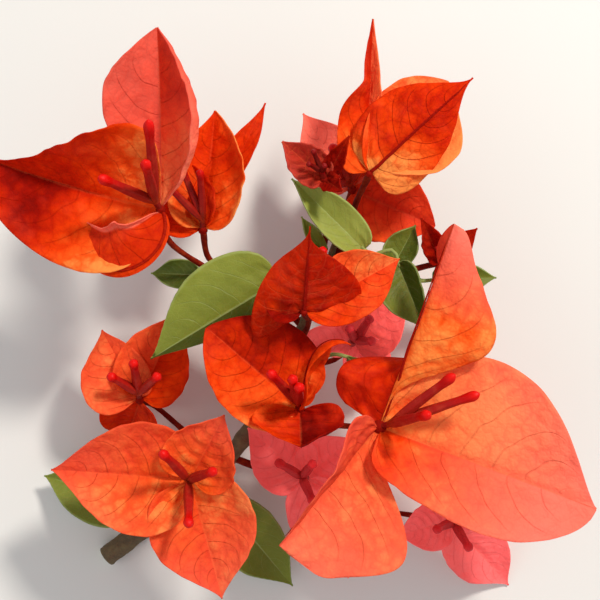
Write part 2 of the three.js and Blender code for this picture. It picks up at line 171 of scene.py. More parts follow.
class Finish:
    def __init__(self, name):
        self.material = bpy.data.materials.new(name)
        self.material.use_nodes = True
        self.tree = self.material.node_tree
        self.shader = self.tree.nodes["Principled BSDF"]

    def node(self, kind, output=0, settings={}, stops=(), **values):
        # values are named as the sockets are, or I and a number
        made = self.tree.nodes.new(kind)
        for key, value in settings.items():
            setattr(made, key, value)
        if stops:
            elements = made.color_ramp.elements
            while len(elements) < len(stops):
                elements.new(0.5)
            for element, (at, colour) in zip(elements, stops):
                element.position = at
                element.color = linear(colour)
        for key, value in values.items():
            plug(made.inputs[int(key[1:]) if key[1:].isdigit() else key.replace("_", " ")], value)
        return Value(made.outputs[output])

    def attribute(self, name):
        return self.node("ShaderNodeAttribute", "Fac", {"attribute_name": name})

    def spot(self):
        return self.node("ShaderNodeTexCoord", "Object")

    def layout(self):
        # both directions of the piece's own UV map: across it, then along it
        across = self.node("ShaderNodeSeparateXYZ", Vector=self.node("ShaderNodeTexCoord", "UV"))
        return across, Value(across.socket.node.outputs[1])

    def ramp(self, stops, value):
        return self.node("ShaderNodeValToRGB", stops=stops, Fac=value)

    def noise(self, scale, detail=3, roughness=0.55):
        return self.node("ShaderNodeTexNoise", "Fac", Vector=self.spot(), Scale=scale, Detail=detail,
                         Roughness=roughness)

    def cells(self, scale, push=0.0, **more):
        # a net of cells, its lines pushed out of straight by so many metres
        where = self.spot()
        if push:
            away = self.node("ShaderNodeTexNoise", "Color", Vector=where, Scale=scale * 0.9, Detail=2)
            where = self.node("ShaderNodeVectorMath", 0, {"operation": "MULTIPLY_ADD"},
                              I0=away, I1=(push, push, push), I2=where)
        return self.node("ShaderNodeTexVoronoi", "Distance", {"feature": "DISTANCE_TO_EDGE"},
                         Vector=where, Scale=scale, **more)

    def band(self, value, low, high):
        return self.node("ShaderNodeMapRange", 0, {"interpolation_type": "SMOOTHSTEP"},
                         Value=value, From_Min=low, From_Max=high)

    def mix(self, factor, first, second):
        return self.node("ShaderNodeMix", 2, {"data_type": "RGBA"}, I0=factor, I6=first, I7=second)

    def feed(self, **values):
        for key, value in values.items():
            plug(self.shader.inputs[key.replace("_", " ")], value)

    def bump(self, height, distance, strength):
        return self.node("ShaderNodeBump", Height=height, Distance=distance, Strength=strength)

    def glow(self, share, colour):
        # light that comes through the thin skin from behind
        through = self.node("ShaderNodeBsdfTranslucent", Color=colour)
        both = self.node("ShaderNodeMixShader", I0=share, I1=Value(self.shader.outputs[0]), I2=through)
        plug(self.tree.nodes["Material Output"].inputs["Surface"], both)


veinSettings = {
    "count": 6.5,  # side veins on each half
    "lean": 0.31,  # how far a side vein runs towards the tip on its way to the edge
    "bend": 1.7,  # how late it does so
    "stray": 0.05,  # how far it wavers
    "strayScale": 170,
    "thin": 0.925,  # 1 would leave it no width
    "side": (0.70, 0.98),  # where it fades on its way from midrib to edge
    "last": (0.74, 0.92),  # where the last ones fade, from base to tip
    "rib": (0.006, 0.035),  # edge of the midrib
}


def veinMarks(finish, settings):
    # u runs from base to tip and s from midrib to edge, as the blade's mesh lays them out
    across, u = finish.layout()
    v = across * 2 - 1
    s = abs(v)
    half = v.math("GREATER_THAN", 0) * 0.5
    stray = finish.noise(settings["strayScale"], 1) * settings["stray"]
    run = (u - (s ** settings["bend"]) * settings["lean"] + stray) * settings["count"] + half
    off = abs(run.math("FRACT") - 0.5) * 2  # 1 on a side vein and 0 between two
    side = finish.band(off, settings["thin"], 1) * (1 - finish.band(s, *settings["side"])) * finish.band(s, 0, 0.03)
    side = side * (1 - finish.band(u, *settings["last"]))
    rib = 1 - finish.band(s, *settings["rib"])
    return s, side, rib


bractSettings = {
    "ramp": [
        (0.00, (78, 3, 2)),
        (0.20, (146, 15, 1)),
        (0.40, (196, 39, 1)),
        (0.60, (230, 65, 4)),
        (0.80, (248, 98, 28)),
        (1.00, (255, 158, 74)),
    ],
    "vein": (140, 20, 8),
    "paleVein": (255, 110, 60),
    "roughness": 0.7,
    "specular": 0.06,
    "glow": 0.36,
    "paintedGlow": 0.0,  # painted light: how strongly it glows in its own pale colour, which lightens it in the shade
    "blotchScale": 110,
    "grainScale": 900,
    "netScale": 340,  # cells a metre between the small veins
    "fineScale": 980,  # and between the finest
    "push": (0.0014, 0.0004),  # how far the lines of both nets stray
    "tones": (0.13, 0.2, 0.12, 0.09),  # what swellings, blotches, grain and cells add to the tone; swellings and cells add painted light and shade, lighter where the skin swells and darker in its hollows
    "paleBlotch": 0.25,  # and what blotches add to the share of salmon pink
    "lines": (0.75, 0.34),  # how much side veins and small veins show
    "relief": (0.5, -0.45, 0.25, 0.3),  # heights of cells, side veins, grain and blotches
    "reliefDepth": 0.00027,
}


def makeBractFinish(name, paleColour, glowColour, settings):
    finish = Finish(name)
    _, side, rib = veinMarks(finish, veinSettings)
    blotch = finish.noise(settings["blotchScale"], 4, 0.6)
    fine = finish.noise(settings["grainScale"], 3, 0.6)
    net = finish.cells(settings["netScale"], settings["push"][0], Randomness=0.95)
    fineNet = finish.cells(settings["fineScale"], settings["push"][1], Randomness=0.95)
    threads = (1 - finish.band(net, 0, 0.06)) + (1 - finish.band(fineNet, 0, 0.1)) * 0.4
    pillows = finish.band(net, 0, 0.32) * 0.8 + finish.band(fineNet, 0, 0.3) * 0.3
    swell, stain, grain, cell = settings["tones"]
    # painted light and shade: the skin's height and its cells' domes make it lighter where it swells and darker in its
    # hollows; blotches and grain are its own mottling
    shade = (finish.attribute("tone") + finish.attribute("height") * swell + (blotch - 0.5) * stain
             + (fine - 0.5) * grain + (pillows - 0.7) * cell)
    pale = finish.attribute("pale") + (blotch - 0.5) * settings["paleBlotch"]
    colour = finish.mix(pale.clamped(), finish.ramp(settings["ramp"], shade), paleColour)
    sideShare, smallShare = settings["lines"]
    lines = (side * sideShare + threads * smallShare) * finish.attribute("veins") + rib * finish.attribute("ribs")
    colour = finish.mix(lines.clamped(), colour, settings["vein"])
    colour = finish.mix((lines * -1).clamped(), colour, settings["paleVein"])
    cell, groove, grain, stain = settings["relief"]
    relief = pillows * cell + side * groove + finish.noise(1500, 2) * grain + blotch * stain
    finish.feed(
        Base_Color=colour,
        Roughness=settings["roughness"] + (fine - 0.5) * 0.2,
        Normal=finish.bump(relief, settings["reliefDepth"], 1.0),
        Specular_IOR_Level=settings["specular"],
        # painted light: a glow in the pale colour, which lightens the skin in the shade
        Emission_Color=paleColour,
        Emission_Strength=settings["paintedGlow"],
    )
    finish.glow(settings["glow"], glowColour)
    return finish.material


leafSettings = {
    "ramp": [
        (0.0, (42, 48, 12)),
        (0.35, (90, 98, 22)),
        (0.7, (140, 146, 54)),
        (1.0, (172, 178, 84)),
    ],
    "vein": (168, 182, 110),
    "lines": (0.22, 0.6, 0.06, 0.5),  # how much side veins, midrib, net and edge show
    "blotchScale": 150,
    "grainScale": 1300,
    "netScale": 900,
    "roughness": 0.5,
    "specular": 0.25,
    "reliefDepth": 0.00015,
    "glow": 0.28,
    "glowColour": (150, 190, 40),
}


def makeLeafFinish(name, settings):
    finish = Finish(name)
    s, side, rib = veinMarks(finish, veinSettings)
    blotch = finish.noise(settings["blotchScale"], 4, 0.6)
    fine = finish.noise(settings["grainScale"], 3, 0.6)
    net = 1 - finish.band(finish.cells(settings["netScale"]), 0, 0.12)
    edge = finish.band(s, 0.93, 0.99)
    colour = finish.ramp(settings["ramp"], finish.attribute("tone") + (blotch - 0.5) * 0.25 + (fine - 0.5) * 0.12)
    sideShare, ribShare, netShare, edgeShare = settings["lines"]
    lines = side * sideShare + rib * ribShare + net * netShare + edge * edgeShare
    colour = finish.mix(lines.clamped(), colour, settings["vein"])
    finish.feed(
        Base_Color=colour,
        Roughness=settings["roughness"] + (blotch - 0.5) * 0.2,
        Normal=finish.bump(side * -0.5 + net * -0.2 + fine * 0.3, settings["reliefDepth"], 0.8),
        Specular_IOR_Level=settings["specular"],
    )
    finish.glow(settings["glow"], settings["glowColour"])
    return finish.material


flowerSettings = {
    "ramp": [
        (0.00, (150, 44, 14)),
        (0.25, (156, 28, 16)),
        (0.70, (164, 20, 16)),
        (0.82, (186, 12, 8)),
        (0.88, (194, 6, 2)),
        (1.00, (208, 14, 6)),
    ],
    "grainScale": 700,
    "streakScale": 420,
    "streak": (196, 70, 44),
    "dark": (70, 8, 8),
    "pink": (226, 66, 74),
    "roughness": 0.45,
    "specular": 0.12,
    "reliefDepth": 0.00008,
}


def makeFlowerFinish(name, settings):
    finish = Finish(name)
    _, along = finish.layout()
    fine = finish.noise(settings["grainScale"], 3, 0.6)
    colour = finish.ramp(settings["ramp"], along + (fine - 0.5) * 0.04)
    streak = finish.noise(settings["streakScale"], 2)
    streak = streak * (1 - finish.band(along, 0.80, 0.88))  # only below the swollen tip
    colour = finish.mix(finish.band(streak, 0.45, 0.75) * 0.35, colour, settings["streak"])
    tone = finish.attribute("tone")
    colour = finish.mix(tone.clamped(), colour, settings["dark"])
    colour = finish.mix((tone * -1).clamped(), colour, settings["pink"])
    finish.feed(
        Base_Color=colour,
        Roughness=settings["roughness"] + (fine - 0.5) * 0.3,
        Normal=finish.bump(finish.noise(2600, 2), settings["reliefDepth"], 0.6),
        Specular_IOR_Level=settings["specular"],
    )
    return finish.material


woodSettings = {
    "barkRamp": [
        (0.0, (46, 36, 24)),
        (0.45, (92, 74, 48)),
        (0.75, (118, 104, 66)),
        (1.0, (150, 138, 100)),
    ],
    "cutWood": (214, 196, 150),
    "pith": (150, 120, 80),
    "pithEdge": (0.16, 0.24),  # as shares of the cut's radius
    "barkScale": 420,
    "patchScale": 90,
    "poreScale": 1500,
    "barkDepth": 0.0003,
    "stalkRamp": [
        (0.0, (58, 6, 2)),
        (0.5, (112, 22, 7)),
        (1.0, (150, 56, 20)),
    ],
    "stalkScale": 700,
    "stalkDepth": 0.00012,
    "stalkSpecular": 0.05,
}


def makeBarkFinish(name, settings):
    finish = Finish(name)
    rough = finish.noise(settings["barkScale"], 5, 0.65)
    broad = finish.noise(settings["patchScale"], 3)
    colour = finish.ramp(settings["barkRamp"], rough * 0.8 + (broad - 0.5) * 0.6 + 0.1)
    pith = finish.band(finish.attribute("ring"), *settings["pithEdge"])
    wood = finish.mix(pith, settings["pith"], settings["cutWood"])
    colour = finish.mix(finish.attribute("cut"), colour, wood)
    pores = finish.cells(settings["poreScale"])
    finish.feed(
        Base_Color=colour,
        Roughness=0.8 + (rough - 0.5) * 0.2,
        Normal=finish.bump(rough + pores * 0.6, settings["barkDepth"], 0.9),
    )
    return finish.material


def makeStalkFinish(name, settings):
    finish = Finish(name)
    rough = finish.noise(settings["stalkScale"], 4, 0.6)
    finish.feed(
        Base_Color=finish.ramp(settings["stalkRamp"], rough * 1.3 - 0.15),
        Roughness=0.6,
        Normal=finish.bump(rough, settings["stalkDepth"], 0.8),
        Specular_IOR_Level=settings["stalkSpecular"],
    )
    return finish.material


# the pink blooms have a painted glow, which lightens them where the blooms above shade them
pinkSettings = {**bractSettings, "glow": 0.3, "paintedGlow": 0.12}
finishes = {
    "bract": makeBractFinish("bractOrange", (255, 134, 112), (255, 88, 14), bractSettings),
    "bract_pink": makeBractFinish("bractPink", (255, 124, 122), (255, 110, 100), pinkSettings),
    "bract_young": makeBractFinish("bractYoung", (214, 84, 70), (220, 40, 24), bractSettings),
    "leaf": makeLeafFinish("leafGreen", leafSettings),
    "flower": makeFlowerFinish("flowerRed", flowerSettings),
    "bark": makeBarkFinish("barkBrown", woodSettings),
    "stalk": makeStalkFinish("stalkRed", woodSettings),
}
print("finishes made:", len(finishes))

# Blades: a grid is added, then laid out by the same rule as the part's solids


halfShape = {  # what a half has, unless its own line says otherwise
    "belly": 0.36,  # where it is widest, from base (0) to tip (1)
    "ends": (0.6, 1.2),  # how sharply the outline closes at the base and at the tip
    "fold": (10, 10),  # how steeply it stands up from the midrib, near the base and near the tip
    "folds": None,  # or the same at several places from base to tip
    "cup": 25,  # how much further it bends up on its way to the edge
    "lip": 0,  # how much more at the very edge
    "lobe": None,  # how far the corner of the base reaches back, if not as the blade says
    "tone": (0.6, 0.6),  # at base and tip, 0 dark red to 1 golden orange, then what the edge adds; besides its own colour it holds painted shade, darker where a half or its tip lies in shade, and painted light, lighter where sun shines through it or another bract shades it
    "pale": (0, 0),  # share of salmon pink at base and tip, then what the edge adds
    "shift": (0, 1),  # where between base and tip both change
    "rim": 0,  # more salmon pink, in a band along the very edge
    "least": 0.12,  # from midrib to edge at the narrowest place
}


def half(wide, **own):
    return dict(halfShape, wide=wide, **own)  # wide is from midrib to edge at the widest place


def twins(wide, **own):
    return half(wide, **own), half(wide, **own)


bladeShape = {  # what a blade has, unless its own line says otherwise
    "roll": 0,  # turn of the face about the midrib: at 0 it looks up, at 180 down
    "curl": (0, 0),  # bend of the midrib towards the face: even, and growing to the tip
    "sway": 0,  # bend of the midrib to the left
    "wave": 0.6,  # height of the waves in the edge
    "waves": 1.6,  # how many from base to tip
    "lobe": 0.25,  # how far the corners of the base reach back
    "settle": 0.45,  # where each half's second fold is reached
    "pucker": 1.0,  # how much the skin swells between its veins
    "veins": 0.35,  # how dark its veins are, below 0 how pale
    "ribs": -0.2,  # the same for its midrib
    "ridge": 0.1,  # tone of the midrib's ridge on its back
}


def blade(turn, rise, long, left, right, **own):
    # turn is its bearing in the plan, and rise the slope of its midrib's start
    return dict(bladeShape, turn=turn, rise=rise, long=long, halves=(left, right), **own)


ribSteps = 200


def heading(turn, rise):
    turn, rise = math.radians(turn), math.radians(rise)
    return Vector((math.cos(rise) * math.cos(turn), math.cos(rise) * math.sin(turn), math.sin(rise)))


def midrib(shape, start):
    along = heading(shape["turn"], shape["rise"])
    face = (Vector((0, 0, 1)) - along * along.z).normalized()
    face.rotate(Quaternion(along, math.radians(shape["roll"])))
    first = Matrix((along, face.cross(along), face)).transposed().to_quaternion()
    spot = Vector(start)
    spots, turns = [], []
    for i in range(ribSteps + 1):
        u = i / ribSteps
        bend = math.radians(shape["curl"][0] * u + shape["curl"][1] * u * u)
        turning = first @ Quaternion((0, 0, 1), math.radians(shape["sway"] * u)) @ Quaternion((0, 1, 0), -bend)
        spots.append(spot.copy())
        spot = spot + turning @ Vector((shape["long"] / ribSteps, 0, 0))
        turns.append(turning.to_matrix())
    return np.array(spots), np.array(turns)


def ease(t):
    return t * t * (3 - 2 * t)


def foldAt(stops, u):
    # a fold that passes smoothly through its stops
    fold = np.full_like(u, stops[0][1])
    for (at, first), (end, last) in zip(stops, stops[1:]):
        fold = np.where(u >= at, first + (last - first) * ease(np.clip((u - at) / (end - at), 0, 1)), fold)
    return fold


def halfPlaces(shape, side, u, s, shift):
    inside = np.clip(u, 0.0001, 0.9999)
    close = side["ends"][0] + (side["ends"][1] - side["ends"][0]) * inside ** 2
    outline = np.sin(np.pi * inside ** (math.log(0.5) / math.log(side["belly"]))) ** close
    wide = np.maximum(side["least"], side["wide"] * outline)
    fold = foldAt(side["folds"] or [(0, side["fold"][0]), (shape["settle"], side["fold"][1])], inside)
    steps = 6  # the bend is added up over so many parts of the way to the edge
    out = up = 0
    for i in range(steps):
        across = (i + 0.5) / steps * s
        bend = np.radians(fold + side["cup"] * across + side["lip"] * across ** 4)
        out += np.cos(bend) * s * wide / steps
        up += np.sin(bend) * s * wide / steps
    up += shape["wave"] * outline * s * s * np.sin(2 * np.pi * shape["waves"] * u + shift)
    lobe = shape["lobe"] if side["lobe"] is None else side["lobe"]
    back = -lobe * wide * s * s * (1 - inside) ** 3
    return back, out, up, wide


def unit(vectors):
    return vectors / np.maximum(1e-9, np.linalg.norm(vectors, axis=-1, keepdims=True))


def skinNormals(places):
    return unit(np.cross(np.gradient(places, axis=0), np.gradient(places, axis=1)))


skinSettings = {
    "swell": 0.42,  # height of the skin's swellings between side veins
    "gather": 0.34,  # height of the gathers that run out from the base
    "gatherReach": 0.26,  # how far they run from base to tip
    "crease": 0.35,  # depth of the groove over the midrib
    "creaseWide": 0.9,  # to each side
    "crumple": 0.75,  # height of the broad unevenness
    "crumpleSize": 7.5,
    "wrinkle": 0.30,  # height of the fine unevenness
    "wrinkleSize": 2.2,
    "ruffle": 0.16,  # height of the small waves at the edge
    "ruffles": 6.3,  # how many from base to tip
    "fullWide": 9,  # a half this wide has all of these in full
    "rimStart": 0.72,  # where a pale rim starts between midrib and edge
    "rimSoft": 0.08,  # over how much of the way it comes in
    "rimTone": 0.35,  # how much lighter it is
    "bractThick": 0.24,
    "leafThick": 0.35,
    "ribRadius": 0.40,  # of the midrib's ridge at its base
    "ribLong": 26,  # a shorter blade has a thinner one
    "ribEnd": 0.94,  # where it ends between base and tip
    "backRib": 0.9,  # how dark the midrib is on a blade that shows its back
    "nearGrid": (100, 60),  # faces along and across a bract
    "farGrid": (50, 36),  # the same for a bloom behind the others
    "leafGrid": (60, 36),
}


def bladePlaces(shape, start, grid, seed, settings):
    rows, columns = grid
    u = np.linspace(0, 1, rows + 1)[:, None]
    even = np.linspace(-1, 1, columns + 1)[None, :]
    v = np.sign(even) * np.abs(even) ** 1.3  # closer columns near the midrib
    s = np.abs(v)
    spots, turns = midrib(shape, start)
    at = np.rint(u[:, 0] * ribSteps).astype(int)
    left, right = shape["halves"]
    isRight = v < 0
    pairs = zip(halfPlaces(shape, left, u, s, 0), halfPlaces(shape, right, u, s, 2))
    back, out, up, wide = (np.where(isRight, second, first) for first, second in pairs)
    local = np.stack([back, np.where(isRight, -out, out), up], axis=2)
    places = np.einsum("rij,rcj->rci", turns[at], local) + spots[at][:, None]
    # relief between the veins, along the skin's normal
    run = (u - veinSettings["lean"] * s ** veinSettings["bend"]) * veinSettings["count"] + np.where(isRight, 0, 0.5)
    firm = np.clip(wide / settings["fullWide"], 0.15, 1) * shape["pucker"]
    swell = (np.abs(np.cos(np.pi * run)) ** 0.8 - 0.6) * np.sin(np.pi * s ** 0.7) * (1.15 - u)
    bumps = np.zeros_like(wide)
    for r in range(rows + 1):
        for c in range(columns + 1):
            flat = Vector((u[r, 0] * shape["long"], v[0, c] * wide[r, c], seed * 17.3))
            bumps[r, c] = (settings["crumple"] * noise.noise(flat / settings["crumpleSize"])
                           + settings["wrinkle"] * noise.noise(flat / settings["wrinkleSize"]))
    ruffle = s ** 5 * np.sin(2 * np.pi * settings["ruffles"] * u + seed * 2.1 + isRight) * np.sin(np.pi * u)
    gather = (np.sin(s * 13 + seed * 3 + 2.5 * np.sin(5 * u)) * np.exp(-(u / settings["gatherReach"]) ** 2)
              * np.sin(np.pi * s ** 0.8))
    crease = np.exp(-((s * wide) / settings["creaseWide"]) ** 2)
    relief = firm * (settings["swell"] * swell + settings["gather"] * gather + bumps * np.minimum(1, s * 3 + 0.15)
                     + settings["ruffle"] * ruffle - settings["crease"] * crease)
    places = places + skinNormals(places) * relief[..., None]

    def ofHalf(key, k):
        return np.where(isRight, (*right[key], 0)[k], (*left[key], 0)[k])

    def alongBoth(key):
        base, tip, edge = (ofHalf(key, k) for k in range(3))
        low, high = (ofHalf("shift", k) for k in range(2))
        return base + (tip - base) * np.clip((u - low) / (high - low), 0, 1) + edge * s ** 2

    # the bract finish paints light and shade from this height: lighter on swellings, darker in hollows
    height = np.clip(relief / 0.5, -1, 1)
    rim = np.where(isRight, right["rim"], left["rim"])
    rim = rim * ease(np.clip((s - settings["rimStart"]) / settings["rimSoft"], 0, 1))
    return places, u, v, alongBoth("tone") + rim * settings["rimTone"], alongBoth("pale") + rim, height


def addGrid(name, places, u, v, marks):
    # one vertex for each place, its UV map along (v, u), and its marks as attributes
    shape = places.shape[:2]
    bpy.ops.mesh.primitive_grid_add(x_subdivisions=shape[1] - 1, y_subdivisions=shape[0] - 1, location=(0, 0, 0))
    made = bpy.context.object
    made.name = name
    mesh = made.data

    def fill(layer, key, values):
        layer.foreach_set(key, values.astype(np.float32).ravel())

    def spread(values):
        return np.broadcast_to(values, shape).ravel()

    corner = np.zeros(len(mesh.loops), np.int32)
    mesh.loops.foreach_get("vertex_index", corner)
    uv = np.stack([spread(v)[corner] * 0.5 + 0.5, spread(u)[corner]], axis=1)
    fill(mesh.vertices, "co", (places - np.array(middle)) * metres)
    fill(mesh.uv_layers.active.data, "uv", uv)
    for key, values in marks.items():
        fill(mesh.attributes.new(key, "FLOAT", "POINT").data, "value", spread(values))
    mesh.update()
    return made


seamGap = 0.000003


def mend():
    # closes seams and poles of the piece just laid out, then points its faces outwards
    bpy.ops.object.mode_set(mode="EDIT")
    bpy.ops.mesh.select_all(action="SELECT")
    bpy.ops.mesh.remove_doubles(threshold=seamGap)
    bpy.ops.mesh.normals_make_consistent(inside=False)
    bpy.ops.object.mode_set(mode="OBJECT")


def finishPiece(name, parts, slot, node=None):
    # it stands for the node of its own name, such as leaf_rightUp for leafRightUp
    if node is None:
        at = [letter.isupper() for letter in name].index(True)
        node = name[:at] + "_" + name[at].lower() + name[at + 1:]
    bpy.ops.object.select_all(action="DESELECT")
    for part in parts:
        part.select_set(True)
    bpy.context.view_layer.objects.active = made = parts[0]
    if len(parts) > 1:
        bpy.ops.object.join()
    made.name = name
    bpy.ops.object.shade_smooth()
    made.data.materials.clear()
    made.data.materials.append(finishes[slot])
    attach(made, "root")
    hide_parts(node)
    bpy.ops.object.select_all(action="DESELECT")


# Limbs: the same smooth curve as the part's solids, laid out as a grid that closes round it


def smoothRun(points, detail=40):
    points = [Vector(point) for point in points]
    full = [points[0] * 2 - points[1], *points, points[-1] * 2 - points[-2]]
    run = []
    for k in range(1, len(full) - 2):
        p = full[k - 1:k + 3]
        d = [max(1e-4, (p[i + 1] - p[i]).length ** 0.5) for i in range(3)]
        first = ((p[1] - p[0]) / d[0] - (p[2] - p[0]) / (d[0] + d[1]) + (p[2] - p[1]) / d[1]) * d[1]
        last = ((p[2] - p[1]) / d[1] - (p[3] - p[1]) / (d[1] + d[2]) + (p[3] - p[2]) / d[2]) * d[1]
        bow = (p[1] - p[2]) * 2 + first + last
        lean = (p[2] - p[1]) * 3 - first * 2 - last
        run += [bow * t ** 3 + lean * t ** 2 + first * t + p[1] for t in (i / detail for i in range(detail))]
    run.append(points[-1])
    return np.array(run)


def runShares(run):
    lengths = np.concatenate([[0], np.cumsum(np.linalg.norm(np.diff(run, axis=0), axis=1))])
    return lengths / lengths[-1]


def spotAt(points, share):
    run = smoothRun(points)
    shares = runShares(run)
    return [float(np.interp(share, shares, run[:, axis])) for axis in range(3)]


plainMarks = {"pale": 0.0, "veins": 0.8, "ribs": 0.8, "height": 0.0}


def limb(name, points, profile, sides, rows, relief=None, tone=0.0, across=None, marks=None, smooth=True):
    # profile gives the radius at shares of the length; rows are (share, scale of the ring)
    run = smoothRun(points) if smooth else np.array([tuple(point) for point in points])
    shares = runShares(run)
    tangents = unit(np.gradient(run, axis=0))
    normal = np.array(Vector(tangents[0]).orthogonal().normalized())
    normals = []
    for tangent in tangents:
        normal = normal - tangent * np.dot(normal, tangent)
        normal = normal / np.linalg.norm(normal)
        normals.append(normal)
    share, scale = np.array(rows).T
    spots, way, first = (
        np.stack([np.interp(share, shares, values[:, axis]) for axis in range(3)], axis=1)
        for values in (run, tangents, np.array(normals))
    )
    first = unit(first)
    other = unit(np.cross(way, first))
    at, radii = zip(*profile)
    turn = np.linspace(0, 1, sides + 1)[None, :]
    angle = 2 * np.pi * (turn % 1.0)
    far = (np.interp(share, at, radii) * scale)[:, None]
    if relief:
        far = far * (1 + relief(share[:, None], angle))
    places = (spots[:, None]
              + first[:, None] * (far * np.cos(angle))[..., None]
              + other[:, None] * (far * np.sin(angle))[..., None])
    v = turn * 2 - 1 if across is None else across
    made = addGrid(name, places, share[:, None], v, marks or {"tone": tone, **plainMarks})
    mend()
    return made


def evenRows(count):
    return [(0, 0.0), (0, 0.6), *[(i / count, 1.0) for i in range(count + 1)], (1, 0.6), (1, 0.0)]


def roundRows(count, blunt):
    # rows of a limb whose far end is a dome over the last share of its length
    body = [(0, 0.0), (0, 0.7), *[(i / count * (1 - blunt), 1.0) for i in range(count + 1)]]
    dome = [(1 - blunt + blunt * math.sin(a), math.cos(a)) for a in (i / 6 * math.pi / 2 for i in range(1, 7))]
    return body + dome


def makeBlade(name, shape, start, thick, grid, seed, settings):
    places, u, v, tone, pale, height = bladePlaces(shape, start, grid, seed, settings)
    marks = {"tone": tone, "pale": pale, "veins": shape["veins"], "height": height,
             "ribs": settings["backRib"] if shape["roll"] == 180 else shape["ribs"]}
    made = addGrid(name, places, u, v, marks)
    mend()
    solid = made.modifiers.new("solidify", "SOLIDIFY")
    solid.thickness = thick * metres
    solid.offset = 0
    solid.use_even_offset = False
    bpy.ops.object.modifier_apply(modifier=solid.name)
    # the midrib stands out as a ridge on the back
    middleColumn, lastRow = grid[1] // 2, int(grid[0] * settings["ribEnd"])
    radius = settings["ribRadius"] * min(1, shape["long"] / settings["ribLong"])
    ridge = (places - skinNormals(places) * radius * 0.8)[:lastRow, middleColumn]
    rib = limb(name + "Rib", ridge, [(0, radius), (0.5, radius * 0.55), (1, 0.08)], 7, evenRows(40),
               across=0.0, tone=shape["ridge"], smooth=False)
    return [made, rib]


bloomShape = {  # what a bloom has, unless its own lines say otherwise
    "far": False,  # whether it lies behind the others, and has the coarser grid
    "look": "bract",
    "knob": 1.0,  # size of the knob that the bracts grow from
    "slim": 0.95,  # thickness of its flowers
    "dark": 0.0,  # how much they lack their red, below 0 how pink they are
}


def makeBracts(name, bloom, settings):
    heart = Vector(bloom["heart"])
    grid = settings["farGrid" if bloom["far"] else "nearGrid"]
    parts = []
    for i, shape in enumerate(bloom["bracts"]):
        start = heart + heading(shape["turn"], shape["rise"]) * 0.5
        seed = bloom["seed"] + i * 0.37
        parts += makeBlade(name + str(i), shape, start, settings["bractThick"], grid, seed, settings)
    # the small knob that the bracts grow from
    up = Vector((0, 0, 1.1))
    rounding = [(i / 10, bloom["knob"] * (0.2 + 0.85 * math.sin(math.pi * i / 10) ** 0.7)) for i in range(11)]
    parts.append(limb(name + "Knob", [heart - up, heart, heart + up], rounding, 16, evenRows(14),
                      across=0.0, tone=0.15))
    finishPiece(name, parts, bloom["look"])


flowerShape = {
    "tube": [(0, 0.55), (0.08, 0.66), (0.20, 0.96), (0.34, 1.04), (0.50, 0.98), (0.66, 0.86), (0.78, 0.82),
             (0.82, 0.88), (0.86, 1.00), (0.91, 1.10), (0.96, 1.05), (1.0, 0.82)],
    "slim": 0.95,  # the radii are for a flower of this size
    "padRise": 2.6,  # from the heart to where the three flowers part
    "ribs": 5,
    "ribHigh": 0.09,  # as shares of the radius
    "lobeHigh": 0.03,
    "tip": 0.84,  # where the closed tip starts
    "sag": 0.5,  # how far a flower's middle hangs below a straight line
}


def flowerRelief(share, angle):
    turn, high, tip = flowerShape["ribs"] * angle, flowerShape["lobeHigh"], flowerShape["tip"]
    body = flowerShape["ribHigh"] * np.cos(turn) * (share > 0.1) * (share < tip)
    lobes = high * np.cos(turn + 9 * (share - tip)) - high * np.abs(np.sin(turn / 2))
    return body + lobes * (share >= tip)


def makeFlowers(name, bloom, settings):
    heart, axis = Vector(bloom["heart"]), heading(*bloom["axis"])
    pad = heart + axis * settings["padRise"]
    scale = bloom["slim"] / settings["slim"]
    profile = [(at, radius * scale) for at, radius in settings["tube"]]
    parts = []
    for i, (turn, rise, long) in enumerate(bloom["flowers"]):
        way = heading(turn, rise)
        spots = [pad - axis * 0.4, pad + way * long * 0.12,
                 pad + way * long * 0.5 - Vector((0, 0, settings["sag"])), pad + way * long]
        parts.append(limb(name + str(i), spots, profile, 30, roundRows(44, 0.08), relief=flowerRelief,
                          tone=bloom["dark"]))
        foot = [heart + way * 0.4, heart + axis * 1.2 + way * 0.3, pad + way * 0.5]
        parts.append(limb(name + "Foot" + str(i), foot, [(0, 0.5), (1, 0.6 * scale)], 8, evenRows(8), tone=0.5))
    finishPiece(name, parts, "flower")


stalkShape = {
    "profile": [(0, 0.9), (0.25, 0.75), (0.5, 0.65), (0.75, 0.6), (1, 0.75)],
    "uneven": 0.05,  # as a share of the radius
}


def stalkRelief(share, angle):
    high = stalkShape["uneven"]
    return high * np.sin(3 * angle + 14 * share) + high * np.sin(41 * share + 2 * angle)


def makeStalk(name, points, settings):
    finishPiece(name, [limb(name, points, settings["profile"], 12, evenRows(36), relief=stalkRelief)], "stalk")


# The woody stem, from its flat cut to the tip behind the middle bloom

woodyStem = {
    "path": [(-46, -61, 2.4), (-33, -51, 3.4), (-19.5, -40, 8), (-7, -22, 18), (0, -7, 26), (5, 5, 28), (7.8, 13, 32)],
    "radii": (2.4, 2.2, 2.0, 1.7, 1.4, 1.1, 0.6),
    "joints": (0.12, 0.26, 0.36, 0.46, 0.52, 0.6, 0.66, 0.72, 0.8, 0.88),  # where stalks leave it
    "jointHigh": 0.14,  # this and the bark's relief are shares of the radius
    "jointLong": 0.010,
    "ridges": 0.09,
    "grain": 0.05,
}


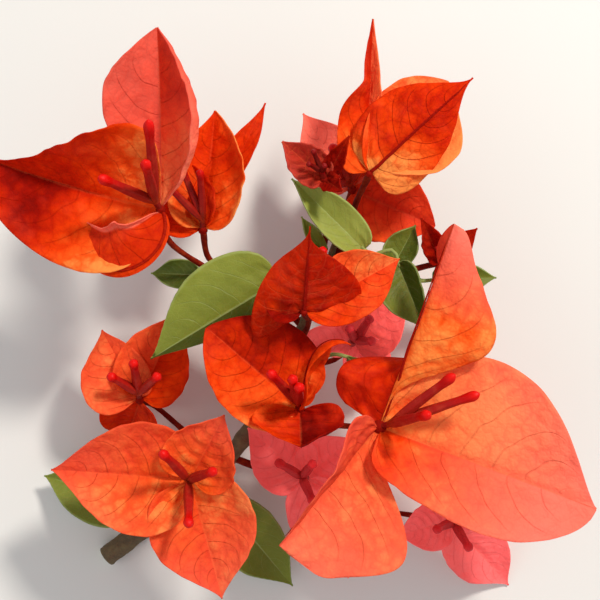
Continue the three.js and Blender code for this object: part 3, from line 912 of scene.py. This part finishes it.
def makeStem(settings):
    radii = settings["radii"]
    profile = [(i / (len(radii) - 1), radius) for i, radius in enumerate(radii)]
    sides, count = 40, 260
    cutRows = [(0, 0.0), (0, 0.25), (0, 0.5), (0, 0.75), (0, 0.93)]
    rows = [*cutRows, *[(i / count, 1.0) for i in range(count + 1)], (1, 0.5), (1, 0.0)]

    def bark(share, angle):
        joints = [np.exp(-((share - at) / settings["jointLong"]) ** 2) for at in settings["joints"]]
        swell = sum(settings["jointHigh"] * joint for joint in joints)
        rough = np.zeros((share.shape[0], angle.shape[1]))
        for r in range(rough.shape[0]):
            for c in range(rough.shape[1]):
                a, far = angle[0, c], share[r, 0] * 100  # the stem is about 100 long
                wood = Vector((math.cos(a) * 2.4, math.sin(a) * 2.4, far * 0.28))
                fine = Vector((math.cos(a) * 6, math.sin(a) * 6, far * 1.1))
                rough[r, c] = noise.noise(wood) * settings["ridges"] + noise.noise(fine) * settings["grain"]
        return (swell + rough) * (share > 0.002)

    # the cut's own rows are marked, and how far out each row lies
    marks = {"cut": np.array([[float(i < len(cutRows))] for i in range(len(rows))]), "ring": np.array(rows)[:, 1:]}
    made = limb("woodyStem", settings["path"], profile, sides, rows, relief=bark, marks=marks)
    finishPiece("woodyStem", [made], "bark", node="stem")


makeStem(woodyStem)
print("stem made")


stemPath = woodyStem["path"]
bloomSeeds, leafSeeds = iter(range(1, 15)), iter(range(21, 31))  # each has an unevenness of its own


def makeBloom(name, **own):
    bloom = {**bloomShape, "seed": next(bloomSeeds), **own}
    stalk = [spotAt(stemPath, bloom["at"]), *bloom["via"], bloom["heart"]]
    makeBracts("bracts" + name, bloom, skinSettings)
    makeFlowers("flowers" + name, bloom, flowerShape)
    makeStalk("stalk" + name, stalk, stalkShape)
    print("bloom made:", name)
    return stalk


leftStalk = makeBloom(
    "Left",
    heart=(-28.4, 18.4, 42),
    at=0.72,  # share of the stem's length where its stalk leaves
    via=[(-9, 0, 25), (-20, 6.8, 28.5), (-27.5, 12.5, 36)],
    axis=(120, 50),  # bearing and slope of the way its flowers stand
    bracts=[
        # painted shade: both halves darken towards the tip, the first as a painted cast shadow with a lighter edge
        # beyond it
        blade(168, -2, 46,
              half(16.5, belly=0.28, fold=(10, 6), cup=10, tone=(0.8, 0.17, 0.3), shift=(0.15, 0.5)),
              half(20, belly=0.18, ends=(0.9, 4.6), fold=(28, 44), tone=(0.9, 0.4, -0.05), shift=(0.12, 0.42)),
              sway=-12, lobe=0.05),
        blade(89.5, 6, 36,
              half(12, belly=0.58, ends=(0.95, 0.9), fold=(2, 14), tone=(0.5, 0.36), pale=(0.3, 0.45, 0.1)),
              half(14.5, belly=0.5, ends=(1, 1), fold=(24, 30), cup=10, lip=110,
                   tone=(1.05, 0.46), pale=(0.35, 0.1, 0.5), shift=(0.3, 0.62)),
              sway=2),
        blade(-68, 20, 33,
              half(11, belly=0.5, ends=(0.45, 0.4), fold=(-34, -34), cup=40, lip=-150,
                   tone=(0.5, 0.5), pale=(0, 0.05), rim=0.7),
              half(1.5),
              roll=180, sway=212, lobe=0, pucker=0.3, ridge=0.6),
    ],
    flowers=[(86.5, 52, 22.5), (89, 70, 18), (159, 57, 17.5)],  # bearing, slope and length of each
)

makeBloom(
    "LeftBack",
    far=True,
    heart=(-20.8, 15, 30),
    at=0.79,
    via=[(-9, 3.5, 26.5), (-19.5, 8.6, 25.5)],
    axis=(85, 45),
    bracts=[
        blade(84, 4, 25,
              half(9, tone=(0.85, 0.5, 0.1)),
              half(10.5, belly=0.42, ends=(0.6, 0.8), cup=40, lip=30, tone=(0.62, 0.56, 0.35))),
        blade(118, -12, 19, half(8, tone=(0.6, 0.5)), half(8, tone=(0.5, 0.5)), roll=-20),
        blade(64, -2, 30, half(6, belly=0.25, ends=(0.6, 1.5), tone=(0.6, 0.5)), half(2.8, belly=0.6, tone=(0.6, 0.5))),
    ],
    flowers=[(110, 30, 14), (90, 40, 13), (135, 40, 13)],
    slim=0.75,
    dark=0.25,
)

makeBloom(
    "Right",
    heart=(16.3, -26.1, 40),
    knob=1.42,
    at=0.52,
    via=[(-3, -24, 23), (5, -26, 33), (11, -26.2, 38.5)],
    axis=(20, 40),
    bracts=[
        # painted shade: the first half, folded back and showing its outer face, is darker
        blade(71, 12, 44,
              half(11.8, belly=0.15, ends=(0.6, 0.65), cup=5, lobe=-0.15,
                   folds=[(0, -10), (0.14, -10), (0.3, -110), (0.7, -110), (0.95, -60)],
                   tone=(0.42, 0.5), pale=(0, 0.2), shift=(0.3, 0.9)),
              half(16, belly=0.56, ends=(3, 0.55), fold=(42, 32), cup=-45,
                   tone=(0.92, 0.56), pale=(0, 1), shift=(0.58, 0.98)),
              veins=0.25),
        blade(-20.5, 2, 46.8,
              half(21.5, belly=0.4, ends=(0.6, 1.1), fold=(4, 4), cup=8, lobe=0.2,
                   tone=(0.98, 0.95), pale=(0, 0.95, 0.15)),
              half(13.2, belly=0.5, ends=(0.2, 0.5), fold=(20, 4), lobe=0.1,
                   tone=(0.68, 0.9), pale=(0, 0.95, 0.1), shift=(0.1, 0.8)),
              wave=1.4, veins=0.22),
        # painted shade: the second half, standing up steeply, is darker
        blade(-131, 8, 31,
              half(21.6, belly=0.58, ends=(1.5, 0.25), fold=(4, 0), cup=0, least=1.5,
                   tone=(0.84, 0.84), pale=(0.1, 0.6, 0.05)),
              half(12, fold=(50, 78), cup=0, tone=(0.56, 0.56, 0.1), pale=(0.15, 0.25, 0.2)),
              veins=0.22),
    ],
    flowers=[(27, 62, 16), (22, 25, 20.5), (42.5, 36, 20)],
)

makeBloom(
    "Top",
    heart=(14, 25.5, 44),
    knob=0.72,
    at=0.93,
    via=[(10.2, 13.2, 31), (11.2, 18.6, 33.6)],
    axis=(42, -8),
    slim=0.6,
    bracts=[
        # painted light and shade: both halves glow near the base as if lit from behind, and darken towards the tip
        blade(42.5, 10, 27.5,
              half(8.6, belly=0.27, ends=(0.45, 1.6), cup=15, tone=(1.2, 0.46, 0.05), shift=(0.1, 0.5)),
              half(10.8, belly=0.38, ends=(0.5, 1.5), cup=15, tone=(1.1, 0.5), shift=(0.04, 0.24)),
              roll=180, curl=(6, 0), lobe=0.15, veins=0.8),
        # painted light: the second half is made lighter where the first bract shades it
        blade(50, -26, 28.5,
              half(9.6, belly=0.5, ends=(0.6, 0.8), tone=(0.7, 0.95), pale=(0, 0.2)),
              half(12.6, belly=0.45, ends=(1.3, 0.8), tone=(1.2, 1.35), pale=(0.1, 0.1)),
              curl=(10, 0)),
        blade(88.8, -22, 33.8,
              half(6.6, belly=0.25, ends=(0.6, 0.9), cup=0, folds=[(0, -5), (0.33, -5), (0.56, 70)],
                   tone=(0.75, 0.4), shift=(0.2, 0.5)),
              half(3.6, ends=(0.9, 0.9), fold=(-5, 50), cup=0, tone=(0.8, 0.95), pale=(0.05, 0.4)),
              curl=(18, 0), sway=-2),
    ],
    flowers=[(44, -7, 13), (51, -8, 12), (36, -8, 12)],
)

makeBloom(
    "TopBack",
    far=True,
    heart=(11.5, 24.3, 22),
    at=0.88,
    via=[(8.5, 14, 23), (10.3, 20.5, 18)],
    axis=(120, 60),
    bracts=[
        blade(-24, 4, 19.5,
              half(9, ends=(0.5, 0.8), tone=(0.55, 0.45, 0.1), pale=(0.1, 0.1)),
              half(10, ends=(0.5, 0.8), tone=(0.6, 0.5, 0.1), pale=(0.1, 0.1))),
        blade(122, -6, 20, *twins(7, tone=(0.7, 0.9), pale=(0.5, 1.2))),
        blade(62, -52, 28, half(7.5, tone=(0.5, 0.45)), half(7.5, tone=(0.5, 0.5)), curl=(6, 0)),
    ],
    flowers=[(120, 50, 13), (60, 50, 13), (180, 50, 12)],
)

makeBloom(
    "Bud",
    far=True,
    heart=(5.1, 24.5, 42),
    at=0.86,
    via=[(5.6, 14, 30.8), (7, 19.6, 33.6)],
    axis=(110, 50),
    look="bract_young",
    slim=0.5,
    dark=0.75,
    bracts=[
        blade(139, 8, 11.2,
              half(4.2, tone=(0.32, 0.32), pale=(0.1, 0.35, 0.4)),
              half(4.6, cup=40, tone=(0.32, 0.32), pale=(0.1, 0.35, 0.4)),
              lobe=0.4, pucker=2.2, veins=-0.6),
        blade(60, 30, 10.4, *twins(2.4, cup=50, tone=(0.25, 0.35)), pucker=2),
        blade(-40, 50, 6, *twins(2.4, tone=(0.2, 0.25)), pucker=2),
    ],
    flowers=[(118, 45, 6), (60, 82, 5), (160, 50, 5)],
)

rightBudStalk = makeBloom(
    "RightBud",
    far=True,
    heart=(30.9, 8.3, 24),
    at=0.8,
    via=[(12, 3.5, 25), (22, 6, 24)],
    axis=(80, 60),
    look="bract_young",
    slim=0.5,
    dark=0.6,
    bracts=[
        blade(118, 30, 11.5, *twins(3.4, cup=50, tone=(0.25, 0.3)), pucker=1.6),
        blade(44, 20, 10.5, *twins(3.4, tone=(0.3, 0.35)), pucker=1.6),
        blade(-60, 10, 8, *twins(3, tone=(0.3, 0.3)), pucker=1.6),
    ],
    flowers=[(80, 60, 6), (30, 60, 5), (140, 60, 5)],
)

makeBloom(
    "Middle",
    heart=(0.8, -2.5, 42.5),
    knob=0.72,
    at=0.66,
    via=[(1.8, -5, 33), (0.9, -3, 38.5)],
    axis=(60, -20),
    bracts=[
        blade(86, 26, 18.5,
              half(12, belly=0.24, ends=(0.7, 3), cup=8, lobe=0.45, tone=(0.36, 0.28)),
              half(11, belly=0.15, ends=(0.65, 1.8), cup=4, lobe=1.05, tone=(0.36, 0.4)),
              roll=180, veins=-0.35),
        blade(29, -12, 22.8,
              half(8, belly=0.45, fold=(0, 20), tone=(0.85, 0.95), pale=(0, 0.2)),
              half(7.5, belly=0.45, fold=(0, 10), tone=(0.6, 0.7), pale=(0, 0.1)),
              veins=0.6),
        blade(150, -26, 10, *twins(5, tone=(0.15, 0.15))),
    ],
    flowers=[(76, -11, 12), (92, -12, 11), (110, -10, 11)],
)

centreBackStalk = makeBloom(
    "CentreBack",
    far=True,
    heart=(11.8, -9.6, 16),
    at=0.6,
    via=[(1.5, -15.5, 16), (8.5, -13.4, 12.4)],
    axis=(40, 70),
    look="bract_pink",
    bracts=[
        blade(38, 10, 15.5, *twins(7.5, tone=(0.5, 0.7), pale=(0.3, 1))),
        blade(174, 4, 12, *twins(4, tone=(0.8, 0.8), pale=(1, 1.2))),
        blade(-50, -20, 13, *twins(6, pale=(0.95, 1))),
    ],
    flowers=[(60, 40, 8), (120, 60, 7), (0, 60, 7)],
    dark=-0.6,
)

makeBloom(
    "Low",
    heart=(0, -22.8, 34),
    at=0.58,
    via=[(-2.5, -21, 27)],
    axis=(110, 60),
    bracts=[
        # painted shade: the second half darkens towards its tip and edge
        blade(139, 4, 25.5,
              half(11, belly=0.4, ends=(0.5, 0.7), tone=(0.88, 0.42, 0.08)),
              half(12.6, belly=0.4, ends=(0.4, 0.7), fold=(6, 4), cup=10, tone=(0.9, 0.4, -0.2), shift=(0, 0.45)),
              veins=0.55),
        blade(70, 24, 22, *twins(4.5, tone=(0.65, 0.65)), roll=72, curl=(-90, 190)),
        blade(-88, 25, 16, half(10, tone=(0.2, -0.05, 0.15)), half(11, tone=(0.5, 0.38, 0.2)), curl=(85, 0)),
    ],
    flowers=[(128, 52, 15), (100, 64, 14.5), (86, 71, 14)],
)

makeBloom(
    "LowLeft",
    far=True,
    heart=(-36.2, -22.6, 16),
    at=0.36,
    via=[(-24, -33, 10), (-33, -25, 10)],
    axis=(90, 50),
    bracts=[
        blade(118, 4, 17.5, half(11, tone=(0.85, 0.85), pale=(0.2, 0.2)), half(6, tone=(0.8, 0.7), pale=(0.2, 0.2))),
        blade(66, 6, 21.5, half(9, tone=(0.8, 0.7), pale=(0.1, 0.2)), half(9, tone=(0.6, 0.5))),
        blade(-116, -50, 19.8, *twins(8, tone=(0.5, 0.5))),
    ],
    flowers=[(90, 50, 12), (140, 50, 11), (40, 50, 11)],
)

makeBloom(
    "NearCut",
    heart=(-23.6, -38.6, 30),
    at=0.26,
    via=[(-24, -40, 18)],
    axis=(100, 80),
    bracts=[
        blade(175, 0, 29,
              half(13, tone=(0.9, 0.7), pale=(0, 0.3, 0.1)),
              half(13, tone=(0.85, 0.6), pale=(0, 0.3, 0.1)), curl=(10, 0)),
        blade(-75, -6, 26,
              half(13, tone=(0.9, 0.8), pale=(0, 0.4, 0.1)),
              half(12, tone=(0.8, 0.6), pale=(0, 0.3, 0.1)), curl=(10, 0)),
        blade(62, 20, 17, half(9, tone=(0.85, 0.7), pale=(0, 0.3)), half(9, tone=(0.8, 0.6), pale=(0, 0.3))),
    ],
    flowers=[(120, 55, 15), (-80, 60, 15), (30, 60, 15)],
)

makeBloom(
    "LowBack",
    far=True,
    heart=(1.1, -40.4, 15),
    at=0.46,
    via=[(-5, -31, 12.5), (-0.6, -38, 11.4)],
    axis=(140, 70),
    look="bract_pink",
    bracts=[
        blade(138, 8, 17, *twins(8, tone=(0.7, 0.6), pale=(0.95, 1))),
        blade(40, 4, 14, *twins(7, tone=(0.7, 0.6), pale=(0.95, 1))),
        blade(-67, -10, 25.8, *twins(8, tone=(0.7, 0.7), pale=(0.95, 1))),
    ],
    flowers=[(140, 50, 11), (60, 60, 10), (-60, 60, 10)],
    dark=-0.4,
)

makeBloom(
    "RightBack",
    far=True,
    heart=(34.2, -50.2, 14),
    at=0.4,
    via=[(-4, -41, 9), (14, -48, 8), (26, -50, 9)],
    axis=(0, 80),
    look="bract_pink",
    bracts=[
        blade(-49, -34, 27, *twins(8, tone=(0.7, 0.7), pale=(0.95, 1)), curl=(10, 0)),
        blade(-165, 6, 12, *twins(6, tone=(0.7, 0.6), pale=(0.95, 1))),
        blade(60, 10, 14, *twins(7, tone=(0.7, 0.6), pale=(0.95, 1))),
    ],
    flowers=[(60, 50, 11), (180, 60, 10), (-60, 60, 10)],
    dark=-0.4,
)

# Leaves: each has a petiole from what it grows on to the foot of its blade

leafStem = {
    "radii": [(0, 0.55), (0.5, 0.5), (1, 0.4)],
    "reach": 0.8,  # how far the petiole runs into the blade
    "lead": 3.0,  # how far before the blade it straightens
}


def leafBlade(*run, pucker=0.6, **own):
    return blade(*run, pucker=pucker, **own)


def makeLeaf(name, parent, at, foot, shape):
    # at is the share of its parent's length where the petiole leaves
    foot, way = Vector(foot), heading(shape["turn"], shape["rise"])
    skin = skinSettings
    parts = makeBlade(name, shape, foot, skin["leafThick"], skin["leafGrid"], next(leafSeeds), skin)
    path = [spotAt(parent, at), foot - way * leafStem["lead"], foot + way * leafStem["reach"]]
    parts.append(limb(name + "Petiole", path, leafStem["radii"], 10, evenRows(16), across=0.0, tone=0.6))
    finishPiece(name, parts, "leaf")
    print("leaf made:", name)


makeLeaf("leafUpper", stemPath, at=0.93, foot=(13.3, 10.6, 36.4), shape=leafBlade(
    136, 6, 21, half(4.5, fold=(20, 20), tone=(0.78, 0.72, 0.1)), half(5, tone=(0.83, 0.78, 0.1))))
makeLeaf("leafLeft", stemPath, at=0.83, foot=(-4.6, 3.9, 31), shape=leafBlade(
    211, -2, 32, half(5.4, fold=(-12, -45), cup=0, tone=(0.3, 0.2)), half(11.6, cup=5, tone=(0.62, 0.56, 0.1))))
# painted shade: the first half of this leaf is darker
makeLeaf("leafRight", stemPath, at=0.88, foot=(20.9, 7.8, 31), shape=leafBlade(
    -68, 2, 15, half(4.5, fold=(30, 40), tone=(0.15, 0.1)), half(7, tone=(0.45, 0.5))))
makeLeaf("leafRightUp", rightBudStalk, at=0.5, foot=(20.6, 7.8, 26), shape=leafBlade(
    62, 4, 9.6, half(4.4, tone=(0.45, 0.45)), half(3.4, tone=(0.3, 0.3))))
makeLeaf("leafFar", rightBudStalk, at=0.8, foot=(29.5, 4.5, 21), shape=leafBlade(
    2, -8, 14.6, *twins(4, tone=(0.4, 0.5))))
makeLeaf("leafEdge", centreBackStalk, at=0.4, foot=(10.4, -12.4, 27), shape=leafBlade(
    -12, 4, 10, *twins(3, tone=(0.2, 0.2)), roll=70))
makeLeaf("leafYoung", stemPath, at=0.9, foot=(5, 10, 33.5), shape=leafBlade(
    122, 10, 9, *twins(1.8, tone=(0.5, 0.6)), pucker=0.4))
makeLeaf("leafLow", stemPath, at=0.12, foot=(-39, -47, 8), shape=leafBlade(
    165, -6, 22, half(8, tone=(0.5, 0.6)), half(8, tone=(0.45, 0.55))))
makeLeaf("leafFoot", stemPath, at=0.3, foot=(-18, -47, 9), shape=leafBlade(
    -52, -12, 27, half(8, tone=(0.5, 0.6)), half(8, tone=(0.45, 0.55))))
makeLeaf("leafDark", leftStalk, at=0.55, foot=(-22, 5.5, 26), shape=leafBlade(
    178, -12, 11, *twins(3.5, tone=(0.2, 0.2))))
